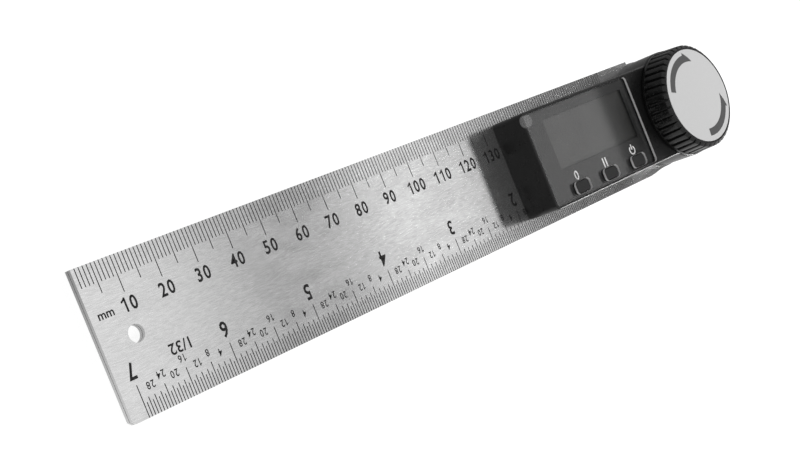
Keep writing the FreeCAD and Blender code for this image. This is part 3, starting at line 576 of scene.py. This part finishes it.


# Pull tab: the sheet that guards the new window against scratches is still on it, and its
# rounded tab of clear film overhangs the corner. The film is real; its pale tint is a painted
# sheen, and its paler, less clear rim a painted highlight along the film's edge.
tab_radius = 0.00165
tab_stretch = 0.0016
tab_place = (0.06695, -0.01130, 0)
tab_rim = 0.00035
tab_lift = 0.00002
tab_thick = 0.00008
# Painted light: the tab's pale tint is a painted sheen, and its rim a painted highlight.
tab_film = finish("tab_film", (0.62, 0.62, 0.62), 0.0, 0.2, alpha=0.07)
tab_rim_highlight = finish("tab_rim_highlight", (0.62, 0.62, 0.62), 0.0, 0.3, alpha=0.26)
for material in (tab_film, tab_rim_highlight):
    sheen_grain = grain(material, (2600, 2600, 2600))
    tint(material, sheen_grain, (0.56, 0.56, 0.56), (0.68, 0.68, 0.68))
tab = bmesh.new()
bmesh.ops.create_circle(tab, cap_ends=True, segments=40, radius=tab_radius)
for vertex in tab.verts:
    if vertex.co.x < 0:
        vertex.co.x -= tab_stretch
bmesh.ops.translate(tab, vec=tab_place, verts=tab.verts)
rim = bmesh.ops.inset_region(tab, faces=tab.faces[:], thickness=tab_rim, use_even_offset=True)
for face in rim["faces"]:
    face.material_index = 1
tab_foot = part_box("display_window")[1][2] + tab_lift
thicken(tab, tab_foot, tab_foot + tab_thick)
tab_mesh = bpy.data.meshes.new("film_pull_tab")
tab.to_mesh(tab_mesh)
tab.free()
tab_mesh.materials.append(tab_film)
tab_mesh.materials.append(tab_rim_highlight)
pull_tab = bpy.data.objects.new("film_pull_tab", tab_mesh)
bpy.context.scene.collection.objects.link(pull_tab)
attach(pull_tab, "housing_arm")


# Display: liquid crystal glass over a grey reflector, blank while it is off, in a white frame
# on two conductive rubber strips.
lcd = finish("display_grey", (0.050, 0.050, 0.049), 0.0, 0.05, specular=0.7)
tint(lcd, grain(lcd, (120, 120, 120), 1.0), (0.048, 0.048, 0.047), (0.053, 0.053, 0.052))
glass = eased("display_glass", "lcd_glass", "housing_arm", width=0.0001, segments=1, limit=40)
glass.data.materials.append(lcd)
for holder, pieces in ((window_lamp, (film_sheet, glass, pull_tab)),
                       (rim_lamp, (nodes["front_case"],))):
    lit_pieces = bpy.data.collections.new(holder.name + "_lights")
    holder.light_linking.receiver_collection = lit_pieces
    for piece in pieces:
        lit_pieces.objects.link(piece)
frame_white = finish("frame_white", (0.75, 0.75, 0.73), 0.0, 0.45)
frame_grain = grain(frame_white, (1800, 1800, 1800))
tint(frame_white, frame_grain, (0.70, 0.70, 0.68), (0.78, 0.78, 0.76))
dress("lcd_holder", frame_white)
strip_rubber = finish("strip_rubber", (0.10, 0.10, 0.11), 0.0, 0.7)
layers = grain(strip_rubber, (9000, 60, 60), 0.0)
tint(strip_rubber, layers, (0.02, 0.02, 0.02), (0.35, 0.30, 0.28), start=0.45, end=0.55)
dress("lcd_connectors", strip_rubber)


# Electronics: a green board, screwed to the chassis, with its chip and three switches. The
# rotor turns under it with the lower blade.
mask_green = finish("board_green", (0.02, 0.11, 0.045), 0.0, 0.3)
tint(mask_green, grain(mask_green, (900, 900, 900)), (0.012, 0.085, 0.032), (0.03, 0.15, 0.06))
dress("main_board", mask_green)
dress("encoder_rotor", mask_green)
epoxy = finish("chip_black", (0.03, 0.03, 0.03), 0.0, 0.5)
tint(epoxy, grain(epoxy, (5000, 5000, 5000)), (0.02, 0.02, 0.02), (0.045, 0.045, 0.045))
dress("measuring_chip", epoxy)
switch_dark = finish("switch_dark", (0.12, 0.12, 0.12), 0.0, 0.5)
switch_grain = grain(switch_dark, (4000, 4000, 4000))
tint(switch_dark, switch_grain, (0.09, 0.09, 0.09), (0.15, 0.15, 0.15))
dress("push_switches", switch_dark)
key_names = ("zero", "hold", "power")
for name in key_names:
    dress(name + "_plunger", frame_white)


# Keys: moulded dark grey caps in the window's openings. Each rests on its switch's plunger,
# and a flange inside keeps it from falling out.
key_grey = finish("key_grey", (0.018, 0.018, 0.018), 0.0, 0.42, specular=0.25)
key_grain = grain(key_grey, (4200, 4200, 4200))
tint(key_grey, key_grain, (0.015, 0.015, 0.015), (0.022, 0.022, 0.022))
roughen(key_grey, key_grain, 0.00001, 0.3)
for name in key_names:
    dress(name + "_button", key_grey)


# Cell in its well with two nickel contacts, and the moulded bayonet cap that closes the well
# from the back of the blade, over a rubber seal. The screws are bright steel.
cell_steel = finish("cell_steel", (0.66, 0.66, 0.65), 1.0, 0.24)
vary(cell_steel, grain(cell_steel, (1400, 1400, 1400), 3.0), "Roughness", 0.18, 0.32)
dress("coin_cell", cell_steel)
nickel = finish("contact_nickel", (0.62, 0.60, 0.56), 1.0, 0.26)
vary(nickel, grain(nickel, (2000, 2000, 2000), 3.0), "Roughness", 0.2, 0.34)
dress("contact_leaf", nickel)
dress("contact_strip", nickel)
dress("battery_cap", chassis_black)
seal = finish("seal_rubber", (0.03, 0.03, 0.03), 0.0, 0.8)
tint(seal, grain(seal, (3000, 3000, 3000)), (0.02, 0.02, 0.02), (0.045, 0.045, 0.045))
dress("battery_seal", seal)
dress("case_screws", turned_steel)
dress("board_screws", turned_steel)


# Lock knob: moulded black with close ribs, screwed down on a steel washer by its brass nut.
# Its top edge falls in a broad slope to the ribs, and its top is sunk for the label.
knob_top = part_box("lock_knob")[1][2]
crown_reach = 0.0004
edge_start = 0.01515
edge_width = 0.00035
groove_radius = 0.0155
crown_land = 0.0146
crown_drop = 0.00072
label_seat = 0.0141
seat_search = 0.0139
knob_black = finish("knob_black", (0.006, 0.006, 0.006), 0.0, 0.28, specular=0.35)
knob_grain = grain(knob_black, (3800, 3800, 3800))
tint(knob_black, knob_grain, (0.005, 0.005, 0.005), (0.011, 0.011, 0.011))
vary(knob_black, knob_grain, "Roughness", 0.23, 0.34)


def crown(bm):
    """Draws the top edge in to a broad slope and widens the seat of the label."""
    for vertex in bm.verts:
        radius = math.hypot(vertex.co.x, vertex.co.y)
        if knob_top - vertex.co.z > crown_reach or radius < seat_search:
            continue
        if radius < label_seat:
            wanted = label_seat
        else:
            slope = (radius - edge_start) / edge_width
            wanted = crown_land + slope * (groove_radius - crown_land)
            vertex.co.z = knob_top - slope * crown_drop
        vertex.co.x *= wanted / radius
        vertex.co.y *= wanted / radius


knob = eased("ribbed_knob", "lock_knob", "knob", width=0.00018, segments=2, limit=30,
             reshape=crown)
knob.data.materials.append(knob_black)
dress("clamp_washer", turned_steel)
brass = finish("brass", (0.66, 0.50, 0.22), 1.0, 0.3)
tint(brass, grain(brass, (2600, 2600, 2600), 3.0), (0.56, 0.41, 0.16), (0.72, 0.56, 0.27))
dress("knob_nut", brass)


# Knob's label: satin silver disc stuck into the knob's sunk top, where it stands a hair proud.
# It is printed with two dark arrows that show which way loosens and which way locks.
silver = finish("label_silver", (0.62, 0.62, 0.62), 0.0, 0.38)
tint(silver, grain(silver, (6000, 6000, 6000)), (0.54, 0.54, 0.54), (0.58, 0.58, 0.58))
label_radius = 0.01405
label_ease = 0.00006
label_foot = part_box("knob_label")[0][2]
label_proud = 0.00001
label_top = knob_top + label_proud
disc = bmesh.new()
bmesh.ops.create_circle(disc, cap_ends=True, segments=128, radius=label_radius)
thicken(disc, label_foot, label_top)
top_rim = [edge for edge in disc.edges if all(vertex.co.z > knob_top for vertex in edge.verts)]
bmesh.ops.bevel(disc, geom=top_rim, offset=label_ease, offset_type="OFFSET", segments=2,
                profile=0.5, affect="EDGES", material=-1, clamp_overlap=True)
disc_mesh = bpy.data.meshes.new("label_disc")
disc.to_mesh(disc_mesh)
disc.free()
label_disc = bpy.data.objects.new("label_disc", disc_mesh)
bpy.context.scene.collection.objects.link(label_disc)
disc_mesh.materials.append(silver)
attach(label_disc, "knob")
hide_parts("knob_label")
arrow_ink = finish("arrow_ink", (0.065, 0.065, 0.065), 0.0, 0.5)
arrow_grain = grain(arrow_ink, (8000, 8000, 8000))
tint(arrow_ink, arrow_grain, (0.055, 0.055, 0.055), (0.08, 0.08, 0.08))
arrow_inner = 0.01033
arrow_outer = 0.01252
arrow_middle = (arrow_inner + arrow_outer) / 2
arrow_barb = 0.01333
arrow_head = math.radians(18.5)
head_slack = 0.001
arrow_spans = ((83, 151.4), (-17.3, -88))


def add_arrow(bm, start, end):
    """A bent arrow between two angles: its head lies beyond the end, its barb on the outside."""
    before = set(bm.verts)
    tail = [bm.verts.new((radius * math.cos(start), radius * math.sin(start), 0))
            for radius in (arrow_inner, arrow_outer)]
    line = bm.edges.new(tail)
    sweep = end - start
    way = math.copysign(1, sweep)
    shaft = bmesh.ops.spin(bm, geom=[line, *tail], cent=(0, 0, 0), axis=(0, 0, 1),
                           dvec=(0, 0, 0), angle=sweep, steps=18, use_merge=False)
    last = [item for item in shaft["geom_last"] if isinstance(item, bmesh.types.BMEdge)]
    collar = bmesh.ops.extrude_edge_only(bm, edges=last)["geom"]
    root = [item for item in collar if isinstance(item, bmesh.types.BMEdge)
            and all(vertex in collar for vertex in item.verts)]
    root_ends = {vertex for item in root for vertex in item.verts}
    for vertex in root_ends:
        if vertex.co.length > arrow_middle:
            vertex.co = vertex.co.normalized() * arrow_barb
    bmesh.ops.spin(bm, geom=[*root, *root_ends], cent=(0, 0, 0), axis=(0, 0, 1),
                   dvec=(0, 0, 0), angle=way * arrow_head, steps=6, use_merge=False)
    for vertex in set(bm.verts) - before:
        past = way * (math.atan2(vertex.co.y, vertex.co.x) - end)
        past = (past + math.pi) % (2 * math.pi) - math.pi
        if past > head_slack and vertex.co.length > arrow_middle:
            share = min(1, past / arrow_head)
            drawn_in = arrow_barb + (arrow_inner - arrow_barb) * share
            vertex.co = vertex.co.normalized() * drawn_in


arrows = bmesh.new()
for start, end in arrow_spans:
    add_arrow(arrows, math.radians(start), math.radians(end))
print_flat("knob_arrows", arrows, [], label_top, arrow_ink, "knob")


# Marks over the keys: white print on the film, under the clear sheet. A nought sets the
# reading to zero, two bars hold it, and a broken ring with a bar switches it on and off.
white_ink = finish("white_ink", (0.85, 0.85, 0.85), 0.0, 0.5)
ink_grain = grain(white_ink, (5000, 5000, 5000))
tint(white_ink, ink_grain, (0.80, 0.80, 0.80), (0.88, 0.88, 0.88))
sign_row = 0.00725
sign_tall = 0.0027
sign_line = 0.00044
hold_bar = 0.0005
hold_bar_shift = 0.0006
power_bar_top = 0.62
power_bar_foot = 0.05
ring_opening = math.radians(35)
ring_sweep = math.radians(290)
key_boxes = [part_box(name + "_button") for name in key_names]
zero_x, hold_x, power_x = [(low[0] + high[0]) / 2 for low, high in key_boxes]
signs = bmesh.new()
for side in (-1, 1):
    stroke(signs, hold_x + side * hold_bar_shift, sign_row - sign_tall / 2,
           sign_row + sign_tall / 2, hold_bar)
stroke(signs, power_x, sign_row - sign_tall * power_bar_top,
       sign_row - sign_tall * power_bar_foot, sign_line)
ring_start = [signs.verts.new((power_x + radius * math.sin(ring_opening),
                               sign_row - radius * math.cos(ring_opening), 0))
              for radius in (sign_tall / 2 - sign_line, sign_tall / 2)]
ring_line = signs.edges.new(ring_start)
bmesh.ops.spin(signs, geom=[ring_line, *ring_start], cent=(power_x, sign_row, 0), axis=(0, 0, 1),
               dvec=(0, 0, 0), angle=ring_sweep, steps=28, use_merge=False)
nought = word("0", sign_tall, zero_x, sign_row, turned=True, weight=0.015)
film_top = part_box("printed_film")[1][2]
print_flat("key_signs", signs, [nought], film_top, white_ink, "housing_arm")
